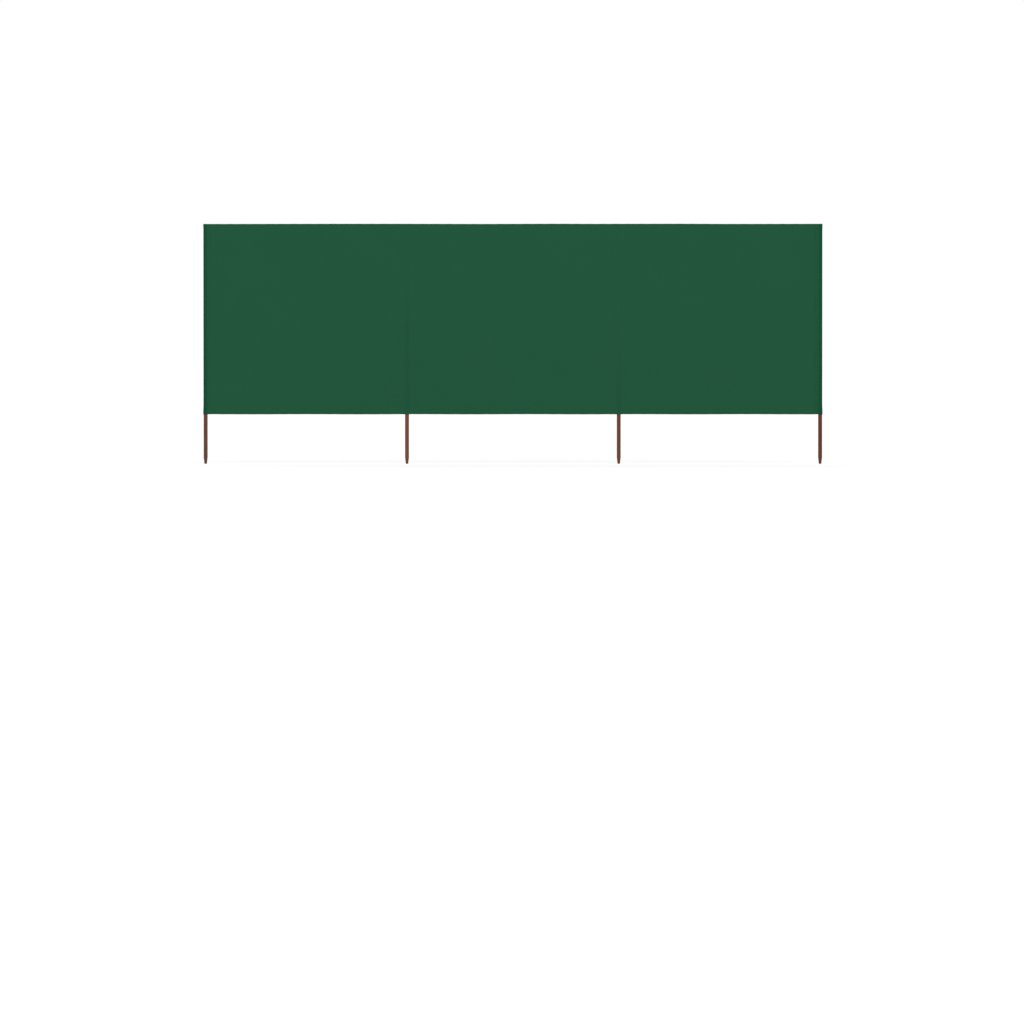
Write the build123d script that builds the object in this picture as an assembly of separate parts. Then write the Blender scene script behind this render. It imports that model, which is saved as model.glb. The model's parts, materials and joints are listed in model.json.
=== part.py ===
from build123d import *
import os

# Beach windbreak: one band of cloth on four square wooden posts, in three bays.
# X runs along the windbreak, the front faces -Y, Z is up.
# The origin is the centre of the blunt tip of post 2. Lengths are millimetres.

# Posts
post_side = 25.0
post_edge_radius = 2.0
post_length = 1548.5
post_top_chamfer = 1.5
tip_length = 42.0
tip_side = 15.0
tip_edge_radius = 1.2

# Bays, post centre to post centre
outer_bay = 1301.5
middle_bay = 1369.0

# Cloth band
cloth_thickness = 1.0
cloth_height = 1230.0
hem_height = 13.0

# Sleeves that hold the posts
sleeve_clearance = 0.5
post_seat_clearance = 0.5
end_sleeve_width = 63.0
end_seam_width = 6.0
pocket_half_width = 33.0
pocket_seam_width = 7.0

# Fold lines beside the two middle posts
fold_margin = 5.0
fold_gap = 0.5

# Sizes that follow from those above
half_post = post_side / 2
half_cloth = cloth_thickness / 2
sleeve_radius = post_edge_radius + sleeve_clearance
half_bore = half_post + sleeve_clearance
cloth_y = -(half_bore + half_cloth)
cloth_back = cloth_y + half_cloth
cloth_top = post_length + post_seat_clearance + cloth_thickness
cloth_bottom = cloth_top - cloth_height
cap_bottom = cloth_top - cloth_thickness
end_margin = half_bore + cloth_thickness
end_seam_edge = end_sleeve_width - end_margin
fold_offset = pocket_half_width + fold_margin

post_x = [-outer_bay, 0.0, middle_bay, middle_bay + outer_bay]
post_y = [cloth_y, 0.0, 0.0, cloth_y]
left_fold = post_x[1] - fold_offset
right_fold = post_x[2] + fold_offset


def between(profile, bottom, top):
    """Solid of a plan outline between two heights."""
    return extrude(Pos(0, 0, bottom) * profile, top - bottom)


def box_between(x_min, x_max, y_min, y_max, z_min, z_max):
    """Plain block between its lowest and highest corners."""
    block = Box(x_max - x_min, y_max - y_min, z_max - z_min, align=Align.MIN)
    return Pos(x_min, y_min, z_min) * block


def region(x_min, x_max, y_min, y_max):
    """Rectangle of the plan between its lowest and highest corners."""
    area = Rectangle(x_max - x_min, y_max - y_min, align=(Align.MIN, Align.MIN))
    return Pos(x_min, y_min) * area


def cut_layers(wall, regions):
    """Lengths of sleeve cloth, one for each named region of the wall's plan."""
    return {layer: between(wall & area, cloth_bottom, cap_bottom) for layer, area in regions.items()}


def make_post():
    """Square post with eased edges and a four-sided point cut off blunt."""
    section = RectangleRounded(post_side, post_side, post_edge_radius)
    blunt_end = RectangleRounded(tip_side, tip_side, tip_edge_radius)
    tip = loft([blunt_end, Pos(0, 0, tip_length) * section], ruled=True)
    shaft = between(section, tip_length, post_length)
    shaft = chamfer(shaft.edges().group_by(Axis.Z)[-1], post_top_chamfer)
    return tip + shaft


def end_bore():
    """Space inside an end sleeve: round the post, then closing to the seam."""
    seam = end_seam_edge - end_seam_width
    points = [
        (-half_bore, -half_bore),
        (half_bore, -half_bore),
        (seam, 0),
        (half_bore, half_bore),
        (-half_bore, half_bore),
    ]
    outline = make_face(Polyline(*points, close=True))
    corners = outline.vertices().sort_by_distance((0, 0))[:4]
    return fillet(corners, sleeve_radius)


def end_sleeve_outline():
    """Outside of an end sleeve with the two layers of its seam."""
    seam = end_seam_edge - end_seam_width
    wrap = offset(end_bore(), cloth_thickness)
    seam_layers = Rectangle(end_seam_width, 2 * cloth_thickness, align=(Align.MIN, Align.CENTER))
    return wrap + Pos(seam, 0) * seam_layers


def make_end_sleeve():
    """Cloth wrapped round an end post: outer fold, faces, and webs out to the seam."""
    wall = end_sleeve_outline() - end_bore()
    start = -end_sleeve_width
    fold_edge = sleeve_radius - half_bore
    web_edge = half_bore
    end = end_sleeve_width
    deep = post_side
    regions = {
        "fold": region(start, fold_edge, -deep, deep),
        "front": region(fold_edge, web_edge, -deep, 0),
        "back": region(fold_edge, web_edge, 0, deep),
        "front_web": region(web_edge, end, -deep, 0),
        "back_web": region(web_edge, end, 0, deep),
    }
    return cut_layers(wall, regions)


def make_end_cap():
    """Top of an end sleeve, folded over the post and stitched shut."""
    return between(end_sleeve_outline(), cap_bottom, cloth_top)


def pocket_bore():
    """Space between the band and the strip behind it, round a middle post."""
    seam = pocket_half_width - pocket_seam_width
    points = [
        (-seam, cloth_back),
        (seam, cloth_back),
        (half_bore, half_bore),
        (-half_bore, half_bore),
    ]
    outline = make_face(Polyline(*points, close=True))
    back_corners = outline.vertices().group_by(Axis.Y)[-1]
    return fillet(back_corners, sleeve_radius)


def pocket_outline():
    """Outside of a middle pocket with its two seams flat on the band."""
    reach = 2 * (pocket_half_width + post_side)
    wrap = offset(pocket_bore(), cloth_thickness)
    band_side = Pos(0, cloth_back) * Rectangle(reach, reach, align=(Align.CENTER, Align.MAX))
    seams = Rectangle(2 * pocket_half_width, cloth_thickness, align=(Align.CENTER, Align.MIN))
    return wrap - band_side + Pos(0, cloth_back) * seams


def make_pocket():
    """Strip round the back of a middle post: its back, and webs out to both seams."""
    wall = pocket_outline() - pocket_bore()
    corner_edge = half_bore - sleeve_radius
    wide = pocket_half_width
    deep = post_side
    regions = {
        "back": region(-wide, wide, corner_edge, deep),
        "left_web": region(-wide, 0, -deep, corner_edge),
        "right_web": region(0, wide, -deep, corner_edge),
    }
    return cut_layers(wall, regions)


def make_pocket_cap():
    """Top of a middle pocket, folded over the post and stitched shut."""
    return between(pocket_outline(), cap_bottom, cloth_top)


def make_outer_panel():
    """Band of the left bay: square at the sleeve's seam, round at the fold line."""
    start = post_x[0] + end_seam_edge
    flat = Rectangle(left_fold - start, cloth_thickness, align=(Align.MIN, Align.CENTER))
    outline = Pos(start, cloth_y) * flat + Pos(left_fold, cloth_y) * Circle(half_cloth)
    return between(outline, cloth_bottom, cloth_top)


def make_middle_panel():
    """Band of the middle bay, past both middle posts to the fold lines."""
    edge_inset = cloth_thickness + fold_gap
    start = left_fold + edge_inset
    end = right_fold - edge_inset
    outline = SlotCenterToCenter(end - start, cloth_thickness)
    return between(Pos((start + end) / 2, cloth_y) * outline, cloth_bottom, cloth_top)


def make_hem(start, end, bottom):
    """Edge of the band turned to the back and sewn flat."""
    return box_between(
        start, end, cloth_back, cloth_back + cloth_thickness, bottom, bottom + hem_height
    )


def mirrored(part):
    """Left bay's piece as the right bay's, about the middle of the windbreak."""
    middle = Plane.YZ.offset(middle_bay / 2)
    return mirror(part, about=middle)


top_hem_bottom = cloth_top - hem_height
left_hem_start = post_x[0] + end_seam_edge
left_hem_end = left_fold - fold_margin
middle_hem_start = post_x[1] + pocket_half_width
middle_hem_end = post_x[2] - pocket_half_width

parts = {}
for number, (x, y) in enumerate(zip(post_x, post_y), start=1):
    parts[f"post_{number}"] = Pos(x, y) * make_post()

end_place = Pos(post_x[0], post_y[0])
for layer, cloth in make_end_sleeve().items():
    parts[f"end_sleeve_{layer}_1"] = end_place * cloth
    parts[f"end_sleeve_{layer}_4"] = mirrored(end_place * cloth)
parts["end_sleeve_cap_1"] = end_place * make_end_cap()
parts["end_sleeve_cap_4"] = mirrored(parts["end_sleeve_cap_1"])

for number in (2, 3):
    place = Pos(post_x[number - 1], 0)
    for layer, cloth in make_pocket().items():
        parts[f"pocket_{layer}_{number}"] = place * cloth
    parts[f"pocket_cap_{number}"] = place * make_pocket_cap()

parts["left_panel"] = make_outer_panel()
parts["left_top_hem"] = make_hem(left_hem_start, left_hem_end, top_hem_bottom)
parts["left_bottom_hem"] = make_hem(left_hem_start, left_hem_end, cloth_bottom)
parts["middle_panel"] = make_middle_panel()
parts["middle_top_hem"] = make_hem(middle_hem_start, middle_hem_end, top_hem_bottom)
parts["middle_bottom_hem"] = make_hem(middle_hem_start, middle_hem_end, cloth_bottom)
parts["right_panel"] = mirrored(parts["left_panel"])
parts["right_top_hem"] = mirrored(parts["left_top_hem"])
parts["right_bottom_hem"] = mirrored(parts["left_bottom_hem"])

os.makedirs("parts", exist_ok=True)
for name, part in parts.items():
    export_step(part, f"parts/{name}.step")
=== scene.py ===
import json
import math
import random
import bpy
import numpy as np
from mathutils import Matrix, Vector


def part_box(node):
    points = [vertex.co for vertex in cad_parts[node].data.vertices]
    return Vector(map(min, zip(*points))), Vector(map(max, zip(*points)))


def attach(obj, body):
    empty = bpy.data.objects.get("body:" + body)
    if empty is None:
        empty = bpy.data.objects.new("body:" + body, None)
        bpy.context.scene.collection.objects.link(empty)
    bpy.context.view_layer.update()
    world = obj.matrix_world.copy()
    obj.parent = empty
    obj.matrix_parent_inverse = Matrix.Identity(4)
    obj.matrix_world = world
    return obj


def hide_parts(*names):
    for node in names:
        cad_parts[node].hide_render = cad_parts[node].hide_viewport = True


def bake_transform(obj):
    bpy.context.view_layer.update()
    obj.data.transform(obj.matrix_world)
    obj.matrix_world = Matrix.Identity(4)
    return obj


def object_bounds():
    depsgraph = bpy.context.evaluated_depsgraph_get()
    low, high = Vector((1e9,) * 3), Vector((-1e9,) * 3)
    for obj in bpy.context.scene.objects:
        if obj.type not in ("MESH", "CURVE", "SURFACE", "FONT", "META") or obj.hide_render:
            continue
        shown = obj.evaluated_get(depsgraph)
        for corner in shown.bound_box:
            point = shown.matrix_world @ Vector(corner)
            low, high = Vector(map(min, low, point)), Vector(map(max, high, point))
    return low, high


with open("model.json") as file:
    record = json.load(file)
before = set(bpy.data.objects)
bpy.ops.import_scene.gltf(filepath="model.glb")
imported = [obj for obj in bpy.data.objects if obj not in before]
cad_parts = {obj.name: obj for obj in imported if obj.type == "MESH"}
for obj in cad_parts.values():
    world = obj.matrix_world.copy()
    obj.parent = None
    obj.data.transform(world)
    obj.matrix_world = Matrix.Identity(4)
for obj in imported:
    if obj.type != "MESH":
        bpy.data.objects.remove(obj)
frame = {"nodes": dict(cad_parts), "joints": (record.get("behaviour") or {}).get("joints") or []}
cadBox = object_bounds()
print("frame loaded,", len(frame["nodes"]), "nodes")

# Sizes read from the frame, in metres. Front is -Y, the windbreak runs along X.
postBoxes = [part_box(f"post_{number}") for number in (1, 2, 3, 4)]
postX = [(low.x + high.x) / 2 for low, high in postBoxes]
postY = [(low.y + high.y) / 2 for low, high in postBoxes]
postHalf = (postBoxes[0][1].x - postBoxes[0][0].x) / 2
postTop = postBoxes[0][1].z
panelLow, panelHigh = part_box("left_panel")
clothBottom = panelLow.z
clothTop = panelHigh.z
bandY = (panelLow.y + panelHigh.y) / 2
hemLow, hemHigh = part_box("left_top_hem")
hemHeight = hemHigh.z - hemLow.z
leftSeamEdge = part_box("end_sleeve_back_web_1")[1].x
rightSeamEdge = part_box("end_sleeve_back_web_4")[0].x
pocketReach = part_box("pocket_right_web_2")[1].x - postX[1]
foldX = {joint["name"]: joint["pos_m"][0] for joint in frame["joints"]}
middleX = (postX[1] + postX[2]) / 2
innerPost = {-1: postX[1], 1: postX[2]}      # where a left and a right bay end


def addObject(name, data):
    made = bpy.data.objects.new(name, data)
    bpy.context.scene.collection.objects.link(made)
    return made


# Camera: a long lens far off, half as high as the windbreak, aimed at the middle of the photo's page.
# It looks down by little more than a degree, so that uprights hardly converge.
photo = {
    "side": 1024,
    "metresPerPixel": 0.006466,
    "firstPost": 205.73,      # centre of post 1, pixels from the left
    "postTips": 463.8,        # pixels from the top
    "cameraDistance": 50.0,
    "cameraHeight": 0.775,
    "sensorWidth": 36,
    "clipEnd": 200,
}


def makeCamera():
    half = photo["side"] / 2
    aimX = postX[0] + (half - photo["firstPost"]) * photo["metresPerPixel"]
    aimZ = (photo["postTips"] - half) * photo["metresPerPixel"]
    data = bpy.data.cameras.new("camera")
    data.sensor_width = photo["sensorWidth"]
    data.clip_end = photo["clipEnd"]
    camera = addObject("camera", data)
    camera.location = (aimX, bandY - photo["cameraDistance"], photo["cameraHeight"])
    aim = Vector((aimX, bandY, aimZ)) - camera.location
    camera.rotation_euler = aim.to_track_quat("-Z", "Y").to_euler()
    data.lens = data.sensor_width * aim.length / (photo["side"] * photo["metresPerPixel"])
    bpy.context.scene.camera = camera


makeCamera()
bpy.context.scene.view_settings.view_transform = "Standard"
print("camera set")


# Node helpers: a value may be a number, a colour or another node's output
def newTree(name):
    material = bpy.data.materials.new(name)
    material.use_nodes = True
    material.node_tree.nodes.clear()
    return material, material.node_tree


def put(tree, socket, value):
    if isinstance(value, bpy.types.NodeSocket):
        tree.links.new(value, socket)
    elif value is not None:
        socket.default_value = value


def addNode(tree, kind, inputs=None, **settings):
    node = tree.nodes.new(kind)
    for key, value in settings.items():
        setattr(node, key, value)
    for key, value in (inputs or {}).items():
        put(tree, node.inputs[key], value)
    return node


def maths(tree, operation, first, second=None, third=None):
    node = addNode(tree, "ShaderNodeMath", {0: first, 1: second, 2: third}, operation=operation)
    return node.outputs[0]


def vectorMaths(tree, operation, first, second=None):
    node = addNode(tree, "ShaderNodeVectorMath", {0: first, 1: second}, operation=operation)
    return node.outputs[0]


def noise(tree, vector, scale, detail=2.0, roughness=0.5):
    inputs = {"Vector": vector, "Scale": scale, "Detail": detail, "Roughness": roughness}
    return addNode(tree, "ShaderNodeTexNoise", inputs).outputs["Fac"]


def remap(tree, value, low, high, newLow, newHigh):
    inputs = {"Value": value, "From Min": low, "From Max": high, "To Min": newLow, "To Max": newHigh}
    return addNode(tree, "ShaderNodeMapRange", inputs).outputs["Result"]


def mixColour(tree, factor, first, second, blend="MIX"):
    # the Mix node's sockets for colours are its inputs 6 and 7 and its output 2
    inputs = {0: factor, 6: first, 7: second}
    node = addNode(tree, "ShaderNodeMix", inputs, data_type="RGBA", blend_type=blend)
    return node.outputs[2]


def linear(red, green, blue):
    values = [channel / 255 for channel in (red, green, blue)]
    return [v / 12.92 if v < 0.04045 else ((v + 0.055) / 1.055) ** 2.4 for v in values] + [1]


def finishShader(tree, colour, rough, height, grain, shine, sheen=None):
    # grain is the bump's strength and depth, sheen is its weight and roughness
    strength, depth = grain
    bump = addNode(tree, "ShaderNodeBump", {"Strength": strength, "Distance": depth, "Height": height})
    inputs = {"Base Color": colour, "Roughness": rough, "Normal": bump.outputs[0]}
    shader = addNode(tree, "ShaderNodeBsdfPrincipled", inputs)
    shader.inputs["Specular IOR Level"].default_value = shine
    if sheen:
        shader.inputs["Sheen Weight"].default_value = sheen[0]
        shader.inputs["Sheen Roughness"].default_value = sheen[1]
    addNode(tree, "ShaderNodeOutputMaterial", {"Surface": shader.outputs[0]})


# Floor and light
studio = {
    "worldLight": 0.565,
    "suns": [                 # name, direction, strength
        ("keyLight", (-0.10, 0.84, -0.52), 1.23),
        ("backLight", (0.30, -0.78, -0.55), 1.0),
    ],
    "sunSpread": 50,
    "floorColour": (0.95, 0.95, 0.95, 1),
    "floorHalf": 120.0,
    "floorWhite": 0.72,       # share of the floor's look that is plain white paper
    "paperStrength": 1.08,
}


def seenDirectly(tree):
    path = addNode(tree, "ShaderNodeLightPath")
    glossy = maths(tree, "MAXIMUM", path.outputs["Is Camera Ray"], path.outputs["Is Glossy Ray"])
    return maths(tree, "MAXIMUM", glossy, path.outputs["Is Transmission Ray"])


def makeFloor():
    material, tree = newTree("studioFloor")
    lit = addNode(tree, "ShaderNodeBsdfDiffuse", {"Color": studio["floorColour"]})
    white = {"Color": (1, 1, 1, 1), "Strength": studio["paperStrength"]}
    paper = addNode(tree, "ShaderNodeEmission", white)
    share = maths(tree, "MULTIPLY", seenDirectly(tree), studio["floorWhite"])
    mixed = addNode(tree, "ShaderNodeMixShader", {0: share, 1: lit.outputs[0], 2: paper.outputs[0]})
    addNode(tree, "ShaderNodeOutputMaterial", {"Surface": mixed.outputs[0]})
    half = studio["floorHalf"]
    corners = [(-half, -half), (half, -half), (half, half), (-half, half)]
    mesh = bpy.data.meshes.new("floor")
    mesh.from_pydata([(x + middleX, y, cadBox[0].z) for x, y in corners], [], [(0, 1, 2, 3)])
    mesh.materials.append(material)
    floor = addObject("floor", mesh)


def makeWorld():
    world = bpy.data.worlds.new("studio")
    bpy.context.scene.world = world
    world.use_nodes = True
    tree = world.node_tree
    tree.nodes.clear()
    strength = remap(tree, seenDirectly(tree), 0, 1, studio["worldLight"], 1.0)
    back = addNode(tree, "ShaderNodeBackground", {"Color": (1, 1, 1, 1), "Strength": strength})
    addNode(tree, "ShaderNodeOutputWorld", {"Surface": back.outputs[0]})


def makeSun(name, direction, strength):
    data = bpy.data.lights.new(name, "SUN")
    data.energy = strength
    data.angle = math.radians(studio["sunSpread"])
    sun = addObject(name, data)
    sun.rotation_euler = Vector(direction).to_track_quat("-Z", "Y").to_euler()


makeFloor()
makeWorld()
for name, direction, strength in studio["suns"]:
    makeSun(name, direction, strength)
print("floor and light made")


# Posts: brown stained softwood, grain along the post, each from its own board
wood = {
    "faces": [(99, 58, 38), (111, 66, 43), (102, 60, 40), (90, 51, 31)],
    "reddish": (1.09, 0.98, 0.95, 1),     # the stain drifts between these two casts along a post
    "brownish": (0.91, 1.02, 1.05, 1),
    "stainScale": (9, 9, 3.4),
    "ringSpacing": 0.0034,
    "pith": [(0.021, 0.034), (-0.030, 0.019), (0.012, -0.041), (-0.026, -0.031)],
    "lean": [(0.010, -0.006), (-0.008, 0.011), (0.012, 0.009), (-0.007, -0.012)],
    "ringWander": 0.008,
    "wanderScale": (38, 38, 2.6),
    "ringFray": 0.0007,       # broken edge of each ring
    "frayScale": (800, 800, 22),
    "lateWood": 0.30,         # the hard, dark side of each ring
    "lateShape": 2.5,
    "fibre": 0.60,
    "fibreScale": (900, 900, 14),
    "streak": 0.24,
    "streakScale": (210, 210, 2.2),
    "patch": 0.20,
    "patchScale": (14, 14, 4),
    "knotScale": (26, 26, 7.5),
    "knotSize": (0.06, 0.16),
    "knotDark": 0.45,
    "commonNoise": (0.3, 0.7),            # where most of the noise values lie
    "stainNoise": (0.35, 0.65),
    "wearNoise": (0.4, 0.6),
    "wearShare": (0.2, 1.6),
    "edgeWear": 0.10,
    "wornFrom": 0.0030,       # rubbed zone beside a rounded edge
    "wornTo": 0.0006,
    "pointDark": 0.86,        # end grain of the cut point drinks more stain
    "pointBottom": 0.001,
    "pointTop": 0.046,
    "mouthDark": 0.84,        # painted shade just below the cloth's edge, where the sleeve's mouth shades the post
    "mouthReach": 0.010,
    "lateHeight": -0.35,      # the dark side of each ring lies a little lower
    "grain": (0.6, 0.00025),
    "roughness": (0.56, 0.74),
    "shine": 0.2,
}


def stretched(tree, place, scale):
    return addNode(tree, "ShaderNodeMapping", {"Vector": place, "Scale": scale}).outputs[0]


def scaledNoise(tree, place, scale, detail=2.0, roughness=0.5):
    return noise(tree, stretched(tree, place, scale), 1.0, detail, roughness)


def centred(tree, value, weight):
    # a noise value as a change about zero
    return maths(tree, "MULTIPLY", maths(tree, "SUBTRACT", value, 0.5), weight)


def growthRings(tree, place, local, index):
    # distance from a pith that leans slightly away from the post's own axis, cut into rings
    x, y, z = local
    leanX, leanY = wood["lean"][index]
    pithX, pithY = wood["pith"][index]
    fromPithX = maths(tree, "SUBTRACT", maths(tree, "MULTIPLY_ADD", z, leanX, x), pithX)
    fromPithY = maths(tree, "SUBTRACT", maths(tree, "MULTIPLY_ADD", z, leanY, y), pithY)
    squareY = maths(tree, "MULTIPLY", fromPithY, fromPithY)
    radius = maths(tree, "SQRT", maths(tree, "MULTIPLY_ADD", fromPithX, fromPithX, squareY))
    wander = centred(tree, scaledNoise(tree, place, wood["wanderScale"], detail=3), wood["ringWander"])
    fray = centred(tree, scaledNoise(tree, place, wood["frayScale"], detail=3), wood["ringFray"])
    radius = maths(tree, "ADD", maths(tree, "ADD", radius, wander), fray)
    turns = maths(tree, "FRACT", maths(tree, "DIVIDE", radius, wood["ringSpacing"]))
    return maths(tree, "POWER", turns, wood["lateShape"])    # each darkens slowly and ends sharply


def rubbedEdges(tree, x, y, patch):
    nearer = maths(tree, "MINIMUM", maths(tree, "ABSOLUTE", x), maths(tree, "ABSOLUTE", y))
    start, end = postHalf - wood["wornFrom"], postHalf - wood["wornTo"]
    edge = remap(tree, nearer, start, end, 0, wood["edgeWear"])
    return maths(tree, "MULTIPLY", edge, remap(tree, patch, *wood["wearNoise"], *wood["wearShare"]))


def woodMaterial(index):
    material, tree = newTree(f"stainedPost{index + 1}")
    place = addNode(tree, "ShaderNodeTexCoord").outputs["Object"]
    local = vectorMaths(tree, "SUBTRACT", place, (postX[index], postY[index], 0))
    apart = addNode(tree, "ShaderNodeSeparateXYZ", {0: local})
    x, y, z = (apart.outputs[axis] for axis in "XYZ")
    late = growthRings(tree, place, (x, y, z), index)
    fibre = scaledNoise(tree, place, wood["fibreScale"], detail=3, roughness=0.6)
    streak = scaledNoise(tree, place, wood["streakScale"])
    patch = scaledNoise(tree, place, wood["patchScale"])
    evened = 1.0 + wood["lateWood"] / (wood["lateShape"] + 1)
    shade = maths(tree, "MULTIPLY_ADD", late, -wood["lateWood"], evened)
    for grain, weight in ((fibre, "fibre"), (streak, "streak"), (patch, "patch")):
        shade = maths(tree, "ADD", shade, centred(tree, grain, wood[weight]))
    knotSpace = stretched(tree, place, wood["knotScale"])
    knots = addNode(tree, "ShaderNodeTexVoronoi", {"Vector": knotSpace, "Scale": 1.0, "Randomness": 1.0})
    knot = remap(tree, knots.outputs["Distance"], *wood["knotSize"], wood["knotDark"], 1.0)
    shade = maths(tree, "MULTIPLY", shade, knot)
    shade = maths(tree, "ADD", shade, rubbedEdges(tree, x, y, patch))
    point = remap(tree, z, wood["pointBottom"], wood["pointTop"], wood["pointDark"], 1.0)
    shade = maths(tree, "MULTIPLY", shade, point)
    # painted shade on the post just below the sleeve's mouth
    belowCloth = maths(tree, "SUBTRACT", clothBottom, z)
    mouth = remap(tree, belowCloth, 0, wood["mouthReach"], wood["mouthDark"], 1.0)
    shade = maths(tree, "MULTIPLY", shade, mouth)
    drift = remap(tree, scaledNoise(tree, place, wood["stainScale"]), *wood["stainNoise"], 0, 1)
    cast = mixColour(tree, drift, wood["reddish"], wood["brownish"])
    stain = mixColour(tree, 1.0, linear(*wood["faces"][index]), cast, "MULTIPLY")
    colour = mixColour(tree, 1.0, stain, shade, "MULTIPLY")
    height = maths(tree, "MULTIPLY_ADD", late, wood["lateHeight"], fibre)
    rough = remap(tree, fibre, *wood["commonNoise"], *wood["roughness"])
    finishShader(tree, colour, rough, height, wood["grain"], wood["shine"])
    return material


for index in range(len(postX)):
    post = frame["nodes"][f"post_{index + 1}"]
    post.data.materials.clear()
    post.data.materials.append(woodMaterial(index))
print("posts finished")


# Cloth: plain woven polyester, 0.5 mm thick, with turned hems and seams
cloth = {
    "thickness": 0.0005,
    "hemExtra": 0.0011,       # the layers turned back in a hem
    "turnExtra": 0.0005,      # the layer turned under along a seam's edge
    "layerGap": 0.00005,
    "postGap": 0.0004,        # between a post and the cloth round it
    "cornerRadius": 0.0030,
    "seamBend": 0.004,
    "endSeam": 0.006,
    "pocketSeam": 0.007,
    "stitchInset": 0.0025,    # from a hem's inner edge to its stitches
    "stitchSink": 0.00018,
    "topFlare": 0.0010,       # room that the hem takes inside a sleeve
    "mouthFlare": 0.0018,
    "step": 0.005,            # spacing of columns
    "nearStep": 0.0025,
    "middleStep": 0.003,
    "wrapStep": 0.004,
    "fineStep": 0.0015,
    "seamStep": 0.00075,
    "arcStep": 18,            # degrees
    "rowStep": 0.014,
    "hemRows": (0.0025, 0.0055, 0.0085),          # rows in a hem, from the cloth's edge
    "hemEdgeRows": (-0.0025, -0.0006, -0.0001, 0.0004, 0.0018),    # and about its inner edge
    "clearRows": (0.019, 0.026, 0.036, 0.048),
    "layerStep": 0.0005,      # a turned edge ends over this length, and a hem over twice it
    "stitchDip": 0.002,       # half the width of the dip along a row of stitches
    "edgeShare": 0.35,        # place of the extra column beside a free edge
    "edgeSlim": 0.4,          # thickness left at a free edge
    "sharpFrom": 55,          # degrees
}
foldRadius = (cloth["thickness"] + cloth["hemExtra"]) / 2
backLayer = cloth["thickness"] + cloth["layerGap"] + cloth["turnExtra"]   # second layer's own middle


def smooth(value):
    value = np.clip(value, 0, 1)
    return value * value * (3 - 2 * value)


def rising(value, change):
    # smoothly from 0 to 1; a change is its start and its length
    return smooth((value - change[0]) / change[1])


def roundedPath(corners, steps):
    # corners are (x, y, radius) in plan; steps are the spacing of points before each next corner
    places = [np.array(corner[:2], float) for corner in corners]
    points = [places[0]]
    for i in range(1, len(corners)):
        here = places[i]
        radius = corners[i][2]
        bend = [here]
        if radius > 0 and i < len(corners) - 1:
            inward = (here - places[i - 1]) / np.linalg.norm(here - places[i - 1])
            outward = (places[i + 1] - here) / np.linalg.norm(places[i + 1] - here)
            cross = inward[0] * outward[1] - inward[1] * outward[0]
            turn = math.atan2(cross, inward @ outward)
            start = here - inward * radius * abs(math.tan(turn / 2))
            side = np.array([-inward[1], inward[0]]) * math.copysign(1, turn)
            centre = start + side * radius
            parts = max(2, math.ceil(abs(turn) / math.radians(cloth["arcStep"])))
            spoke = start - centre
            bend = []
            for k in range(parts + 1):
                angle = turn * k / parts
                c, s = math.cos(angle), math.sin(angle)
                turned = (spoke[0] * c - spoke[1] * s, spoke[0] * s + spoke[1] * c)
                bend.append(centre + np.array(turned))
        before = points[-1]
        count = max(1, round(float(np.linalg.norm(bend[0] - before)) / steps[i - 1]))
        points += [before + (bend[0] - before) * k / count for k in range(1, count + 1)]
        points += bend[1:]
    return np.array(points)


def newSheet(name, corners, steps, anchorX, anchorAtEnd, freeStart, freeEnd):
    # u is the length along the cloth; on the flat band it equals x
    points = roundedPath(corners, steps)
    for free, first, second in ((freeStart, 0, 1), (freeEnd, -1, -2)):
        if free:
            edge = points[first] + (points[second] - points[first]) * cloth["edgeShare"]
            points = np.insert(points, 1 if first == 0 else len(points) - 1, edge, axis=0)
    lengths = np.linalg.norm(np.diff(points, axis=0), axis=1)
    s = np.concatenate([[0], np.cumsum(lengths)])
    tangents = np.gradient(points, s, axis=0)
    tangents /= np.linalg.norm(tangents, axis=1)[:, None]
    normals = np.stack([tangents[:, 1], -tangents[:, 0]], axis=1)
    u = anchorX - (s[-1] - s) if anchorAtEnd else anchorX + s
    return {"name": name, "points": points, "s": s, "normals": normals, "u": u,
            "freeStart": freeStart, "freeEnd": freeEnd}


# Bays: where each one's free cloth starts and ends, and how it hangs
relief = {
    "reach": 0.16,            # free cloth settles to its own shape this far from a seam
    "belly": [0.0035, 0.0045, 0.0030],
    "firstSeed": 40,
    "anyPhase": (0, 6.28),
    "rollWaves": ((1.5, 0.3), (2.4, -0.6), (0.6, 1.2)),    # waves across and up a bay
    "rollHeight": 0.0014,
    "rollShare": (0.6, 1.0),
    "rollStretch": (0.85, 1.15),
    "creaseHeight": 0.0011,
    "creases": 3,             # from each corner of a bay
    "creaseAngle": (12, 34),  # degrees from level
    "creaseTurn": 18,         # degrees from one to the next
    "creaseLength": (0.35, 0.75),
    "creaseWidth": (0.018, 0.036),
    "creaseSpread": (0.6, 1.1),   # shares of its width: at the corner, and gained along it
    "creaseRise": 0.2,        # shares of its length
    "creaseFade": (0.35, 0.65),
    "creaseHold": 0.02,       # the seam holds the cloth flat this far
    "puckerHeight": 0.0006,
    "puckerReach": 0.030,
    "puckerLengths": (0.024, 0.033, 0.047),
    "puckerHold": 0.015,
    "seamPucker": 0.6,        # height and reach along a seam, as shares
    "seamPuckerHold": 0.01,
    "seamPull": 0.0008,       # the pocket seams draw the band back beside a middle post
    "pullFrom": (0.014, 0.013),   # start and length of each change, from the post's centre
    "pullTo": (0.033, 0.030),
    "hemOut": 0.0009,         # the hem stands out over a middle post
    "hemOutTo": (0.014, 0.012),
    "hemFade": 0.020,         # the hem's thickness still shows this far past it
}
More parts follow.
